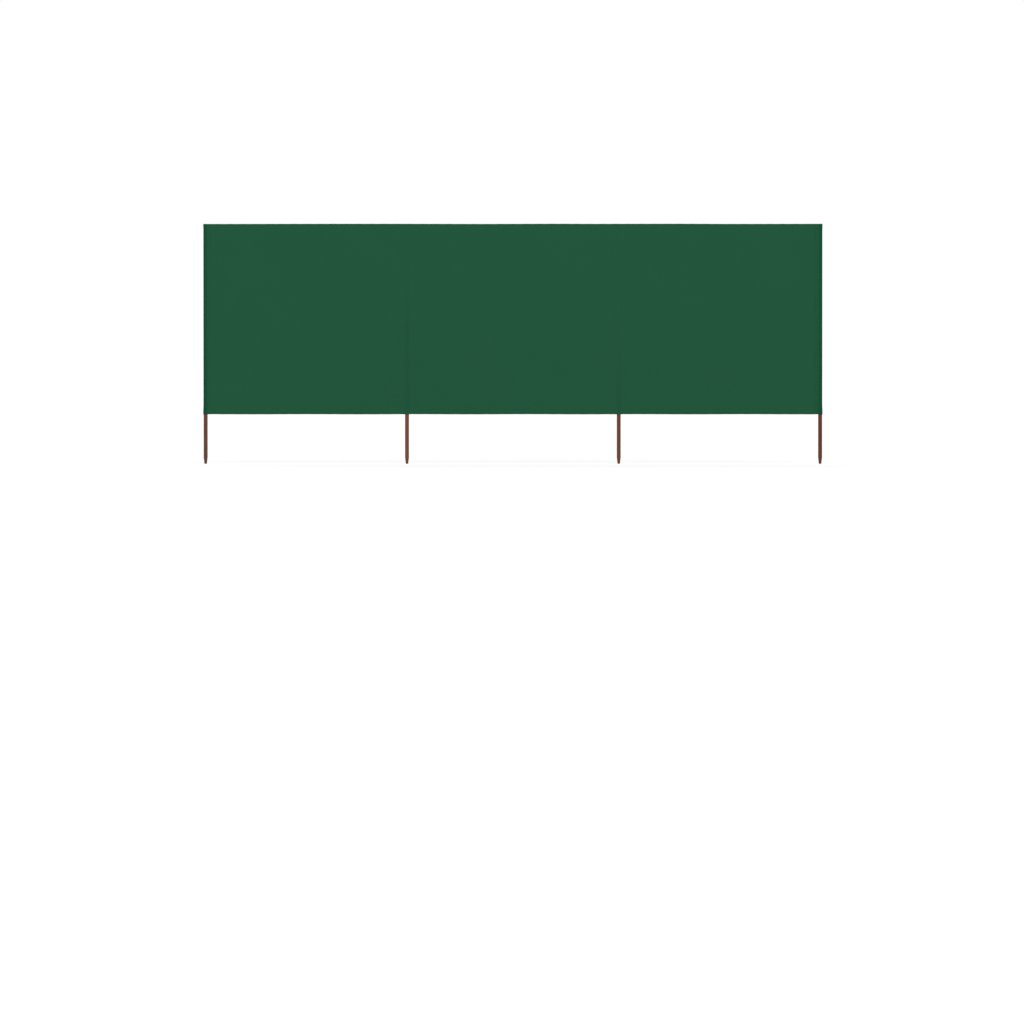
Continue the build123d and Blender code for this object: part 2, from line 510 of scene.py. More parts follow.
# heights of the top edge above its mean, in millimetres, at places along the band in metres
topEdge = {
    "x": [-1.3155, -0.982, -0.465, -0.077, 0.505, 0.958, 1.217, 1.734, 2.058, 2.6845],
    "rise": [-0.5, 0.0, 0.8, 0.9, -0.3, 1.2, 0.4, 1.4, 0.0, 0.6],
}
# small waves of both edges in metres: height, length, phase
topWaves = [(0.00025, 0.083, 0.0)]
bottomWaves = [(0.0005, 0.71, 1.0), (0.0002, 0.097, 0.0)]
# the sleeve's mouth hangs lowest past the outer fold: distance along the cloth from the middle of the
# post's front, and rise, in millimetres
mouthEdge = {
    "out": [-40.0, -16.0, -4.0, 13.0, 40.0, 66.0, 95.0],
    "rise": [0.0, 0.5, -0.3, -1.4, -1.2, -0.4, 0.0],
    "reach": 0.10,            # metres up from the mouth
}

seamInner = postX[1] + pocketReach - cloth["pocketSeam"] / 2
bays = [
    {"start": leftSeamEdge, "end": postX[1] - pocketReach},
    {"start": postX[1] + pocketReach, "end": postX[2] - pocketReach},
    {"start": postX[2] + pocketReach, "end": rightSeamEdge},
]


def settleBays():
    for number, bay in enumerate(bays):
        pick = random.Random(relief["firstSeed"] + number)
        bay["belly"] = relief["belly"][number]
        bay["rolls"] = []
        for across, up in relief["rollWaves"]:
            height = relief["rollHeight"] * pick.uniform(*relief["rollShare"])
            waves = across * pick.uniform(*relief["rollStretch"])
            bay["rolls"].append((waves, up, pick.uniform(*relief["anyPhase"]), height))
        bay["creases"] = []
        for cornerX, towardX in ((bay["start"], 1), (bay["end"], -1)):
            for cornerZ, towardZ in ((clothBottom, 1), (clothTop, -1)):
                for k in range(relief["creases"]):
                    angle = math.radians(pick.uniform(*relief["creaseAngle"]) + relief["creaseTurn"] * k)
                    bay["creases"].append({
                        "x": cornerX, "z": cornerZ,
                        "dx": math.cos(angle) * towardX, "dz": math.sin(angle) * towardZ,
                        "length": pick.uniform(*relief["creaseLength"]),
                        "width": pick.uniform(*relief["creaseWidth"]),
                        "height": relief["creaseHeight"] * pick.uniform(-1.0, 1.0),
                    })
        bay["phases"] = [[pick.uniform(*relief["anyPhase"]) for _ in relief["puckerLengths"]]
                         for edge in ("low", "high", "near", "far")]


settleBays()


def ridge(crease, x, z):
    alongX = x - crease["x"]
    alongZ = z - crease["z"]
    t = (alongX * crease["dx"] + alongZ * crease["dz"]) / crease["length"]
    away = alongX * crease["dz"] - alongZ * crease["dx"]
    narrow, gain = relief["creaseSpread"]
    width = crease["width"] * (narrow + gain * np.clip(t, 0, 1))
    strength = smooth(t / relief["creaseRise"]) * (1 - rising(t, relief["creaseFade"]))
    return crease["height"] * strength * np.exp(-(away / width) ** 2)


def ripple(along, phases):
    waves = [np.sin(2 * np.pi * along / length + phase)
             for length, phase in zip(relief["puckerLengths"], phases)]
    return sum(waves) / len(waves)


def bayRelief(bay, x, z):
    across = np.clip((x - bay["start"]) / (bay["end"] - bay["start"]), 0, 1)
    up = (z - clothBottom) / (clothTop - clothBottom)
    inside = np.clip(np.minimum(x - bay["start"], bay["end"] - x), 0, None)
    shape = bay["belly"] * np.sin(np.pi * across) * (0.5 + 0.5 * np.sin(np.pi * up))
    for k, rise, phase, height in bay["rolls"]:
        shape = shape + height * np.sin(2 * np.pi * (k * across + rise * up) + phase)
    shape = shape * smooth(inside / relief["reach"])
    for crease in bay["creases"]:
        shape = shape + ridge(crease, x, z) * smooth(inside / relief["creaseHold"])
    reach = relief["puckerReach"]
    low, high, near, far = bay["phases"]
    hold = smooth(inside / relief["puckerHold"])
    for away, phases in ((z - clothBottom, low), (clothTop - z, high)):
        shape = shape + relief["puckerHeight"] * hold * ripple(x, phases) * np.exp(-away / reach)
    share = relief["seamPucker"]
    for away, phases in ((x - bay["start"], near), (bay["end"] - x, far)):
        fade = np.exp(-np.clip(away, 0, None) / (reach * share)) * smooth(away / relief["seamPuckerHold"])
        shape = shape + relief["puckerHeight"] * share * ripple(z, phases) * fade
    return shape


def fromRim(z):
    # distance from the cloth's nearer edge, top or bottom
    return np.minimum(z - clothBottom, clothTop - z)


def hemShare(z):
    step = cloth["layerStep"]
    return np.interp(fromRim(z), [hemHeight - step, hemHeight + step], [1, 0])


def stitchDip(z):
    line = hemHeight - cloth["stitchInset"]
    reach = cloth["stitchDip"]
    return np.interp(fromRim(z), [line - reach, line, line + reach], [0, 1, 0])


def clothPlace(sheet, s, z, n):
    # point of the cloth: length along it, height, and distance out from its middle layer
    s, z, n = np.broadcast_arrays(s, z, n)
    columns = (*sheet["points"].T, *sheet["normals"].T)
    x, y, outX, outY = (np.interp(s, sheet["s"], column) for column in columns)
    shift = n + sheet["shift"](s, x, z)
    rise = sheet["rise"](s, z)
    return np.stack([x + outX * shift, y + outY * shift, z + rise], axis=-1)


def extraAt(sheet, s, z):
    # layers on the inner side: turned hem at top and bottom, turned edge along a seam
    turned = np.zeros(np.shape(s))
    for free, away in ((sheet["freeStart"], s), (sheet["freeEnd"], sheet["s"][-1] - s)):
        if free:
            ends = [sheet["turn"], sheet["turn"] + cloth["layerStep"]]
            turned = np.maximum(turned, np.interp(away, ends, [1, 0]))
    return np.maximum(cloth["hemExtra"] * hemShare(z), cloth["turnExtra"] * turned)


def surfaceAt(sheet, s, z, side):
    # distance from the middle layer to the outer face (side 0) or the inner face (side 1)
    dip = cloth["stitchSink"] * stitchDip(z)
    outer = cloth["thickness"] / 2 - dip
    inner = -cloth["thickness"] / 2 - extraAt(sheet, s, z) + dip
    return outer + (inner - outer) * side


def heightRows():
    hemEdge = [hemHeight + offset for offset in cloth["hemEdgeRows"]]
    near = [foldRadius, *cloth["hemRows"], *hemEdge, *cloth["clearRows"]]
    low = [clothBottom + offset for offset in near]
    high = [clothTop - offset for offset in reversed(near)]
    count = round((high[0] - low[-1]) / cloth["rowStep"])
    return np.array(low + list(np.linspace(low[-1], high[0], count + 1)[1:-1]) + high)


rows = heightRows()
arcAngles = np.radians([30, 60, 90, 120, 150])


def ringOf():
    # one closed loop up the cloth and back down: height, and share towards the inner face
    topArc = clothTop - foldRadius + foldRadius * np.sin(arcAngles)
    bottomArc = clothBottom + foldRadius - foldRadius * np.sin(arcAngles)
    over = (1 - np.cos(arcAngles)) / 2
    height = np.concatenate([rows, topArc, rows[::-1], bottomArc])
    side = np.concatenate([np.zeros(len(rows)), over, np.ones(len(rows)), over[::-1]])
    return height, side


def ringFaces(order):
    # quads between rows of vertex numbers, where each row is a closed ring
    turned = np.roll(order, -1, axis=1)
    return np.stack([order[:-1], order[1:], turned[1:], turned[:-1]], axis=-1).reshape(-1, 4).tolist()


def buildMesh(name, vertices, faces, material, uv=None, fields=None):
    mesh = bpy.data.meshes.new(name)
    mesh.from_pydata(vertices.tolist(), [], faces)
    mesh.polygons.foreach_set("use_smooth", np.ones(len(mesh.polygons), bool))
    corners = np.zeros(len(mesh.loops), np.int32)
    mesh.loops.foreach_get("vertex_index", corners)
    if uv is not None:
        layer = mesh.uv_layers.new(name="cloth")
        layer.uv.foreach_set("vector", uv[corners].astype(np.float32).ravel())
    for field, values in (fields or {}).items():
        mesh.attributes.new(field, "FLOAT", "POINT").data.foreach_set("value", values.astype(np.float32))
    mesh.materials.append(material)
    mesh.update()
    mesh.set_sharp_from_angle(angle=math.radians(cloth["sharpFrom"]))
    piece = addObject(name, mesh)
    return piece


def sheetMesh(sheet, material):
    height, side = ringOf()
    s = sheet["s"][:, None]
    z = height[None, :]
    n = surfaceAt(sheet, *np.broadcast_arrays(s, z), side[None, :])
    # a free edge is rounded by drawing its last column in
    slim = np.ones(len(sheet["s"]))
    slim[0] = cloth["edgeSlim"] if sheet["freeStart"] else 1
    slim[-1] = cloth["edgeSlim"] if sheet["freeEnd"] else 1
    middle = (n.max(axis=1) + n.min(axis=1))[:, None] / 2
    n = middle + (n - middle) * slim[:, None]
    points = clothPlace(sheet, s, z, n)
    across, around = points.shape[:2]
    order = np.arange(across * around).reshape(across, around)
    faces = ringFaces(order)
    # strips close the sheet's two ends
    count, arc = len(rows), len(arcAngles)
    for column, flip in ((order[0], False), (order[-1], True)):
        front = column[:count]
        back = column[count + arc:2 * count + arc][::-1]
        strips = [[front[i], front[i + 1], back[i + 1], back[i]] for i in range(count - 1)]
        strips.append([*column[count - 1:count + arc + 1]])
        strips.append([*column[2 * count + arc - 1:], column[0]])
        faces += [[int(k) for k in (strip[::-1] if flip else strip)] for strip in strips]
    s, u, z = np.broadcast_arrays(s, sheet["u"][:, None], z)
    uv = np.stack([u, z], axis=-1).reshape(-1, 2)
    tone, backed = sheet["tone"](s, u, z)
    fields = {"tone": tone.ravel(), "backed": backed.ravel()}
    return buildMesh(sheet["name"], points.reshape(-1, 3), faces, material, uv, fields)


# Colour of the cloth as the photo shows it. Its thread is a little lighter.
fabric = {
    "colour": (18, 79, 52),
    "gapLight": 0.0066,       # light that comes through the weave where nothing stands behind one layer
    "threadPitch": 0.0006,
    "grain": (0.7, 0.00008),
    "threadHeight": 0.8,
    "weaveShade": 0.11,
    "slub": 0.24,             # thread to thread
    "slubScale": (45, 1500),  # changes in a metre, along a thread and across
    "bar": 0.05,              # bands of weft that took the dye a little differently
    "barLength": 0.8,
    "barWidth": 0.006,
    "mottle": 0.05,           # hand-sized patches
    "mottleScale": 2.3,
    "patchNoise": (-0.2, 0.2),
    "roughness": (0.80, 0.90),
    "shine": 0.1,
    "sheen": (0.02, 0.45),
}
thread = {
    "colour": (30, 85, 59),
    "fibreScale": 900.0,
    "fibreNoise": (0.3, 0.7),
    "fibreShade": (0.85, 1.12),
    "grain": (0.5, 0.0001),
    "roughness": 0.6,
    "shine": 0.35,
    "sheen": (0.1, 0.5),
}


def fabricMaterial():
    material, tree = newTree("greenCloth")
    flat = addNode(tree, "ShaderNodeUVMap", uv_map="cloth").outputs[0]
    apart = addNode(tree, "ShaderNodeSeparateXYZ", {0: flat})
    turn = math.pi / fabric["threadPitch"]
    warp = maths(tree, "SINE", maths(tree, "MULTIPLY", apart.outputs["X"], turn))
    weft = maths(tree, "SINE", maths(tree, "MULTIPLY", apart.outputs["Y"], turn))
    weave = maths(tree, "MULTIPLY", warp, weft)           # plain weave: over one, under one
    along, across = fabric["slubScale"]
    weftThread = scaledNoise(tree, flat, (along, across, 1))
    warpThread = scaledNoise(tree, flat, (across, along, 1))
    threads = maths(tree, "SUBTRACT", maths(tree, "ADD", weftThread, warpThread), 1.0)
    mottle = noise(tree, flat, fabric["mottleScale"], detail=3, roughness=0.55)
    patch = maths(tree, "SUBTRACT", mottle, 0.5)
    bars = scaledNoise(tree, flat, (1 / fabric["barLength"], 1 / fabric["barWidth"], 1), detail=1)
    shade = maths(tree, "MULTIPLY_ADD", threads, fabric["slub"], 1.0)
    shade = maths(tree, "ADD", shade, centred(tree, bars, fabric["bar"]))
    shade = maths(tree, "MULTIPLY_ADD", patch, fabric["mottle"], shade)
    shade = maths(tree, "MULTIPLY_ADD", weave, fabric["weaveShade"], shade)
    tone = addNode(tree, "ShaderNodeAttribute", attribute_name="tone").outputs["Fac"]
    shade = maths(tree, "MULTIPLY", shade, tone)
    backed = addNode(tree, "ShaderNodeAttribute", attribute_name="backed").outputs["Fac"]
    through = remap(tree, backed, 0, 1, fabric["gapLight"], 0)
    bare = mixColour(tree, through, linear(*fabric["colour"]), (1, 1, 1, 1))
    colour = mixColour(tree, 1.0, bare, shade, "MULTIPLY")
    height = maths(tree, "MULTIPLY_ADD", threads, fabric["threadHeight"], weave)
    rough = remap(tree, patch, *fabric["patchNoise"], *fabric["roughness"])
    finishShader(tree, colour, rough, height, fabric["grain"], fabric["shine"], fabric["sheen"])
    return material


def threadMaterial():
    material, tree = newTree("greenThread")
    place = addNode(tree, "ShaderNodeTexCoord").outputs["Object"]
    fibre = noise(tree, place, thread["fibreScale"])
    shade = remap(tree, fibre, *thread["fibreNoise"], *thread["fibreShade"])
    colour = mixColour(tree, 1.0, linear(*thread["colour"]), shade, "MULTIPLY")
    finishShader(tree, colour, thread["roughness"], fibre,
                 thread["grain"], thread["shine"], thread["sheen"])
    return material


greenCloth = fabricMaterial()
greenThread = threadMaterial()


# Where the cloth looks darker or lighter, in part painted shade and light, and where less light comes
# through it: "backed" is 1 with a post right behind the cloth and 0 for one bare layer
shading = {
    "postEdge": 0.003,        # width of the change at a post's side
    "web": 0.20,              # backed share between an end post and its seam
    "webReach": 0.012,
    "webLift": 0.05,          # and how much lighter it is painted, as it leans towards the light
    "postFade": 0.012,        # width of the change beside an end post
    "postFadeStart": 0.4,     # share of it that lies over the post
    "outerFold": 0.24,        # painted shade, darker towards the very end where the cloth turns round the post
    "foldReach": 0.026,
    "foldPast": 0.5,          # on the outer side itself it loses this share
    "foldSide": 0.008,        # over this length
    "lowEnd": 0.05,           # the lower part of an end sleeve is darker still
    "lowEndTop": 0.80,
    "lowEndFade": 0.35,
    "seamLine": 0.02,         # a lighter line beside an end seam
    "seamLineAt": 0.001,
    "seamLineWidth": 0.0015,
    "middlePost": 0.25,       # backed share of the band in front of a middle post
    # painted shade in front of a middle post, which stops light coming through the band
    "middleDark": 0.02,
    "middleFade": [(1.30, 0.45), (0.80, 0.35)],   # where it ends and length of the fade, posts 2 and 3
    "hem": 0.30,
    "hemDark": 0.02,
    "edgeLine": 0.14,
    "edgeReach": 0.0035,
    # painted shade where a post stops light coming through a pocket
    "pocketDark": 0.02,
    "top": 0.96,
}


def overPost(away):
    width = shading["postEdge"]
    return 1 - smooth((np.abs(away) - postHalf + width / 2) / width)


def edgeTone(z):
    line = shading["edgeLine"] * (1 - smooth(fromRim(z) / shading["edgeReach"]))
    return 1 - line - shading["hemDark"] * hemShare(z)


def middleTone(u, z):
    tone = edgeTone(z)
    backed = shading["hem"] * hemShare(z)
    for x, (fadeTop, fadeLength) in zip(postX[1:3], shading["middleFade"]):
        over = overPost(u - x) * smooth((fadeTop - z) / fadeLength)
        # painted shade where a middle post stands behind the band
        tone = tone - shading["middleDark"] * over
        backed = np.maximum(backed, shading["middlePost"] * over)
    return tone, backed


def endTone(u, z, seamU, postU, outward):
    # outward is -1 at the left end and 1 at the right end; the fold is the middle of the outer side
    beyond = (u - seamU) * outward
    fromFold = np.abs((u - postU) * outward - 2 * postHalf)
    inside = fromFold - postHalf
    # painted shade where the cloth turns round the end post
    fold = shading["outerFold"] * (1 - smooth(inside / shading["foldReach"]))
    fold = fold * (1 - shading["foldPast"] * smooth(-inside / shading["foldSide"]))
    onPost = 1 - smooth((fromFold - 3 * postHalf) / shading["postFade"] + shading["postFadeStart"])
    low = shading["lowEnd"] * onPost * smooth((shading["lowEndTop"] - z) / shading["lowEndFade"])
    fromLine = (beyond + shading["seamLineAt"]) / shading["seamLineWidth"]
    line = shading["seamLine"] * np.exp(-fromLine ** 2)
    web = smooth(beyond / shading["webReach"])
    # painted light on the web between an end post and its seam, which leans towards the light
    lift = shading["webLift"] * web * (1 - onPost)
    return 1 - fold - low + line + lift, np.maximum(shading["web"] * web, onPost)


# The three bays of the band. The outer ones go on round the end posts.
pathHalf = postHalf + cloth["postGap"] + cloth["thickness"] / 2
endSeamStart = leftSeamEdge - cloth["endSeam"]
foldZone = {
    "before": 0.008,          # a bay starts to bend this far before its fold
    "fineBefore": 0.014,      # columns stand closer from here
    "fineAfter": 0.010,       # to here
}
seamZone = {
    "pastEnd": 0.002,         # closest columns go on this far past an end seam
    "beforePocket": 0.005,    # and begin this far before a pocket's seam
    "middle": 0.006,          # the same in the middle bay
    "middleNear": 0.040,
}
sleeve = {
    "flatWithin": 0.0001,     # points this close to the front plane are on it
    "grow": 0.020,            # the room in a sleeve grows over this length from its seam
    "topFade": (0.008, 0.030),    # where it starts to fade below the top, and over what length
    "mouthFade": (0.010, 0.070),  # the same above the mouth
    "liftFade": (0.008, 0.016),   # and along a seam, for the layer that rides over the hems
}


def mirrorX(x):
    return 2 * middleX - x


def leftCorners():
    x, y = postX[0], postY[0]
    r = cloth["cornerRadius"]
    bend = cloth["seamBend"]
    fold = foldX["left_fold"]
    corners = [
        (leftSeamEdge, bandY + backLayer, 0),
        (endSeamStart, bandY + backLayer, bend),
        (x + pathHalf, y + pathHalf, r),
        (x - pathHalf, y + pathHalf, r),
        (x - pathHalf, y - pathHalf, r),
        (x + pathHalf, y - pathHalf, r),
        (endSeamStart, bandY, bend),
        (leftSeamEdge + seamZone["pastEnd"], bandY, 0),
        (fold - foldZone["fineBefore"], bandY, 0),
        (fold + foldZone["fineAfter"], bandY, 0),
        (seamInner - seamZone["beforePocket"], bandY, 0),
        (seamInner, bandY, 0),
    ]
    steps = [cloth["seamStep"], *[cloth["wrapStep"]] * 5, cloth["seamStep"], cloth["step"],
             cloth["fineStep"], cloth["nearStep"], cloth["seamStep"]]
    return corners, steps


def middleCorners():
    start, end = seamInner, mirrorX(seamInner)
    offsets = (0, seamZone["middle"], seamZone["middleNear"])
    corners = [(start + offset, bandY, 0) for offset in offsets]
    corners += [(end - offset, bandY, 0) for offset in reversed(offsets)]
    beside = [cloth["seamStep"], cloth["middleStep"]]
    return corners, [*beside, cloth["step"], *beside[::-1]]


def pocketPull(away):
    # the pocket seams draw the cloth together beside a middle post
    return relief["seamPull"] * rising(away, relief["pullFrom"]) * (1 - rising(away, relief["pullTo"]))


def hemOut(away):
    # a hem stands out in front of a middle post
    return relief["hemOut"] * (1 - rising(away, relief["hemOutTo"]))


def bandShift(u, z):
    # out from the flat band: the bays' relief, the pull of the seams, and the hem over a middle post
    shift = np.zeros(np.shape(u))
    for bay in bays:
        within = (u >= bay["start"]) & (u <= bay["end"])
        shift = np.where(within, bayRelief(bay, u, z), shift)
    for x in postX[1:3]:
        away = np.abs(u - x)
        shift = shift - pocketPull(away) + hemOut(away) * hemBulge(z)
    return shift


def hemBulge(z):
    return 1 - rising(fromRim(z), (hemHeight, relief["hemFade"]))


def sleeveShift(beyond, z):
    # room for the hem inside a sleeve or a pocket, from its seam outwards
    top = cloth["topFlare"] * (1 - rising(clothTop - z, sleeve["topFade"]))
    mouth = cloth["mouthFlare"] * (1 - rising(z - clothBottom, sleeve["mouthFade"]))
    return smooth(beyond / sleeve["grow"]) * (top + mouth)


def seamLift(s, z):
    # the second layer rides over both hems at the ends of a seam
    return 2 * cloth["hemExtra"] * hemBulge(z) * (1 - rising(s, sleeve["liftFade"]))


def edgeWaves(u, waves):
    return sum(height * np.sin(2 * np.pi * u / length + phase) for height, length, phase in waves)


def bandRise(u, z):
    up = smooth((z - clothBottom) / (clothTop - clothBottom))
    top = np.interp(u, topEdge["x"], topEdge["rise"]) / 1000 + edgeWaves(u, topWaves)
    return top * up + edgeWaves(u, bottomWaves) * (1 - up)


def mouthRise(away, z):
    out, rise = np.array(mouthEdge["out"]) / 1000, np.array(mouthEdge["rise"]) / 1000
    return np.interp(away, out, rise) * (1 - smooth((z - clothBottom) / mouthEdge["reach"]))


def outerSheet(name, side):
    corners, steps = leftCorners()
    anchor = seamInner
    if side > 0:
        corners = [(mirrorX(x), y, radius) for x, y, radius in reversed(corners)]
        steps = steps[::-1]
        anchor = mirrorX(seamInner)
    sheet = newSheet(name, corners, steps, anchor, side < 0, side < 0, side > 0)
    sheet["turn"] = cloth["endSeam"]
    seamU = leftSeamEdge if side < 0 else rightSeamEdge
    post = postX[0] if side < 0 else postX[3]
    planX, planY = sheet["points"].T
    inFront = planY < postY[0] - pathHalf + sleeve["flatWithin"]
    overFront = inFront & (planX * side > post * side - postHalf)
    postU = float(sheet["u"][overFront].mean())
    length = sheet["s"][-1]

    def fromFreeEdge(s):
        return s if side < 0 else length - s

    def uOf(s):
        return np.interp(s, sheet["s"], sheet["u"])

    def shift(s, x, z):
        u = uOf(s)
        pastSeam = np.minimum((u - seamU) * side, fromFreeEdge(s)) - cloth["endSeam"]
        return bandShift(u, z) + sleeveShift(pastSeam, z) + seamLift(fromFreeEdge(s), z)

    def rise(s, z):
        u = uOf(s)
        return bandRise(u, z) + mouthRise((u - postU) * side, z)

    def tone(s, u, z):
        dark, behind = middleTone(u, z)
        endDark, endBehind = endTone(u, z, seamU, postU, side)
        return dark * endDark, np.maximum(behind, endBehind)

    sheet.update(shift=shift, rise=rise, tone=tone, seamU=seamU, side=side)
    return sheet


def middleSheet():
    corners, steps = middleCorners()
    sheet = newSheet("band_middle", corners, steps, seamInner, False, False, False)
    sheet["turn"] = 0
    sheet["shift"] = lambda s, x, z: bandShift(x, z)
    sheet["rise"] = lambda s, z: bandRise(s + seamInner, z)
    sheet["tone"] = lambda s, u, z: middleTone(u, z)
    return sheet


bandLeft = outerSheet("band_left", -1)
bandMiddle = middleSheet()
bandRight = outerSheet("band_right", 1)
bandPieces = {sheet["name"]: sheetMesh(sheet, greenCloth) for sheet in (bandLeft, bandMiddle, bandRight)}
print("band made:", {name: len(piece.data.polygons) for name, piece in bandPieces.items()})


# Pockets: strips sewn to the back of the band round the middle posts
pocket = {
    "textureStart": 4.0,      # keeps each pocket's weave apart from the band's
    "seamHold": 0.008,        # cloth within this length of a free edge follows the band
    "wrinkle": 0.0004,
    "wrinkleLength": 0.29,
    "wrinkleGrow": 0.012,
    "mouthDrop": 0.0008,
    "mouthReach": 0.08,
    "mouthGrow": 0.02,
}


def pocketSheet(number):
    centre = postX[number - 1]
    half = [
        (pocketReach, bandY + backLayer, 0),
        (pocketReach - cloth["pocketSeam"], bandY + backLayer, cloth["seamBend"]),
        (pathHalf, postY[number - 1] + pathHalf, cloth["cornerRadius"]),
    ]
    corners = [(centre + x, y, radius) for x, y, radius in half]
    corners += [(centre - x, y, radius) for x, y, radius in reversed(half)]
    steps = [cloth["seamStep"], *[cloth["wrapStep"]] * 3, cloth["seamStep"]]
    anchor = pocket["textureStart"] + number
    sheet = newSheet(f"pocket_{number}", corners, steps, anchor, False, True, True)
    sheet["turn"] = cloth["pocketSeam"]
    length = sheet["s"][-1]

    def shift(s, x, z):
        fromEdge = np.minimum(s, length - s)
        pastSeam = fromEdge - pocket["seamHold"]
        wave = np.sin(2 * np.pi * z / pocket["wrinkleLength"] + number) * (1 - hemBulge(z))
        wrinkle = pocket["wrinkle"] * wave * smooth(pastSeam / pocket["wrinkleGrow"])
        pull = pocketPull(np.abs(x - centre))
        return pull + sleeveShift(pastSeam, z) + seamLift(fromEdge, z) + wrinkle

    def rise(s, z):
        across = np.interp(s, sheet["s"], sheet["points"][:, 0])
        low = 1 - smooth((z - clothBottom) / pocket["mouthReach"])
        pastSeam = np.minimum(s, length - s) - pocket["seamHold"]
        drop = pocket["mouthDrop"] * low * smooth(pastSeam / pocket["mouthGrow"])
        return bandRise(across, z) - drop

    def tone(s, u, z):
        over = overPost(s - length / 2)
        backed = np.maximum(over, shading["web"])
        # painted shade over the post, which stops light coming through the pocket's cloth
        return edgeTone(z) - shading["pocketDark"] * over, backed

    sheet.update(shift=shift, rise=rise, tone=tone)
    return sheet


pocketSheets = {number: pocketSheet(number) for number in (2, 3)}
pocketPieces = {number: sheetMesh(sheet, greenCloth) for number, sheet in pocketSheets.items()}
print("pockets made")


# Closed tops: cloth drawn over the post's end and sewn in below the sleeve's rim
top = {
    "rings": [0.0006, 0.0055, 0.0100, 0.0110, 0.0114, 0.0120, 0.0126],   # in line with the post's sides
    "towardRim": [0.12, 0.3, 0.55, 0.8, 1.0],                            # and on out to the rim
    "clearance": 0.00015,     # above the post's end
    "sewnIn": 0.0003,         # how far its edge runs into the hem
    "chamfer": 0.0015,        # eased edge on the post's end
    "easedEdge": 0.0020,      # and along the post
    "added": (0.25, 0.5, 0.75),   # places of the outline's points between the sheet's own
    "outlineStart": 0.0005,   # from the seam
    "frontPoints": 60,        # across the front of a middle post
    "frontGap": 0.0004,
    "rimDrop": 0.0004,
    "sag": 0.0014,            # beside the post, where nothing holds the cloth up
    "sagLength": 0.022,
    "sagStart": 0.004,
    "seamDepth": 0.0030,      # from the rim down to the stitches that close the top
    "textureStart": (8.0, 0.5),
}


def besidePost(direction, half):
    # points of a ring round the post's axis: square, with the post's own eased corners
    corner = max(0.0, top["easedEdge"] - (postHalf - half))
    core = half - corner
    size = np.abs(direction)
    flat = half / size.max(axis=1)
    reach = core * size.sum(axis=1)
    arc = reach + np.sqrt(np.maximum(reach ** 2 - 2 * core ** 2 + corner ** 2, 0))
    return direction * np.where(flat * size.min(axis=1) > core, arc, flat)[:, None]


def closedTop(kind, number, outline):
    middle = np.array((postX[number - 1], postY[number - 1]))
    distance = np.linalg.norm(outline - middle, axis=1)[:, None]
    direction = (outline - middle) / distance
    edge = direction * (distance + top["sewnIn"])
    lastReach = top["rings"][-1]
    last = besidePost(direction, lastReach)
    half = cloth["thickness"] / 2
    level = postTop + top["clearance"] + half
    layers = []
    for reach in top["rings"]:
        drop = np.clip(reach - lastReach + top["chamfer"], 0, top["chamfer"])
        layers.append((besidePost(direction, reach), np.full(len(edge), drop)))
    for share in top["towardRim"]:
        flat = last + (edge - last) * share
        beyond = np.linalg.norm(flat - last, axis=1)
        hang = np.sin(np.pi * np.clip(beyond / top["sagLength"], 0, 1)) * smooth(beyond / top["sagStart"])
        layers.append((flat, top["chamfer"] + top["rimDrop"] * share + top["sag"] * hang))
    rings = []
    for (flat, drop), face in [(layer, 1) for layer in layers] + [(layer, -1) for layer in layers[::-1]]:
        rings.append(np.column_stack([middle + flat, level + face * half - drop]))
    vertices = np.concatenate(rings)
    order = np.arange(len(vertices)).reshape(len(rings), len(outline))
    faces = ringFaces(order) + [order[0].tolist(), order[-1][::-1].tolist()]
    uv = vertices[:, :2] + np.array(top["textureStart"])
    fields = {"tone": np.full(len(vertices), shading["top"]), "backed": np.ones(len(vertices))}
    return buildMesh(f"{kind}_top_{number}", vertices, faces, greenCloth, uv, fields)


def hemInside(sheet, kept):
    # plan of the hem's inner face, where the closed top is sewn in
    own = sheet["s"][kept]
    between = [own[:-1] + np.diff(own) * share for share in top["added"]]
    s = np.sort(np.concatenate([own, *between]))
    z = clothTop - top["seamDepth"]
    inner = clothPlace(sheet, s, z, surfaceAt(sheet, s, np.full(len(s), z), 1))
    return inner[:, :2]


def endTop(number, sheet):
    seam = endSeamStart if sheet["side"] < 0 else mirrorX(endSeamStart)
    beyond = (sheet["points"][:, 0] - seam) * sheet["side"]
    wrap = hemInside(sheet, beyond > top["outlineStart"])
    return closedTop("sleeve", number, wrap)


def pocketTop(number):
    sheet = pocketSheets[number]
    centre = postX[number - 1]
    seam = pocketReach - cloth["pocketSeam"]
    kept = hemInside(sheet, np.abs(sheet["points"][:, 0] - centre) < seam + top["outlineStart"])
    acrossPost = np.linspace(kept[-1][0], kept[0][0], top["frontPoints"])[1:-1]
    frontY = bandY + foldRadius + top["frontGap"] - hemOut(np.abs(acrossPost - centre))
    front = np.column_stack([acrossPost, frontY])
    return closedTop("pocket", number, np.concatenate([kept, front]))


tops = {1: endTop(1, bandLeft), 2: pocketTop(2), 3: pocketTop(3), 4: endTop(4, bandRight)}
print("tops closed")


# Stitches: short beads of thread, sunk at both ends
stitch = {
    "pitch": 0.0040,
    "length": 0.0034,
    "width": 0.00055,
    "height": 0.00024,
    "taper": 0.0009,          # from its full width to its end
    "endSunk": 0.3,           # shares of its height that lie below the cloth's face
    "middleSunk": 0.4,
    "seamInset": 0.0015,      # rows of a seam, from both its edges
    "rowStart": 0.004,        # from the cloth's edge, or from the middle bay's ends
    "hemGap": 0.002,          # from a seam to the hem's rows
    "rimGap": 0.003,          # from an end seam to the row that holds a closed top
    "tackPitch": 0.0009,
    "tacks": 7,
    "tackStart": 0.016,       # from the cloth's edge
    "tackMargin": 0.001,      # a bar tack is narrower than its seam by this
}


def middlesOf(low, high, count):
    return low + (np.arange(count) + 0.5) * (high - low) / count


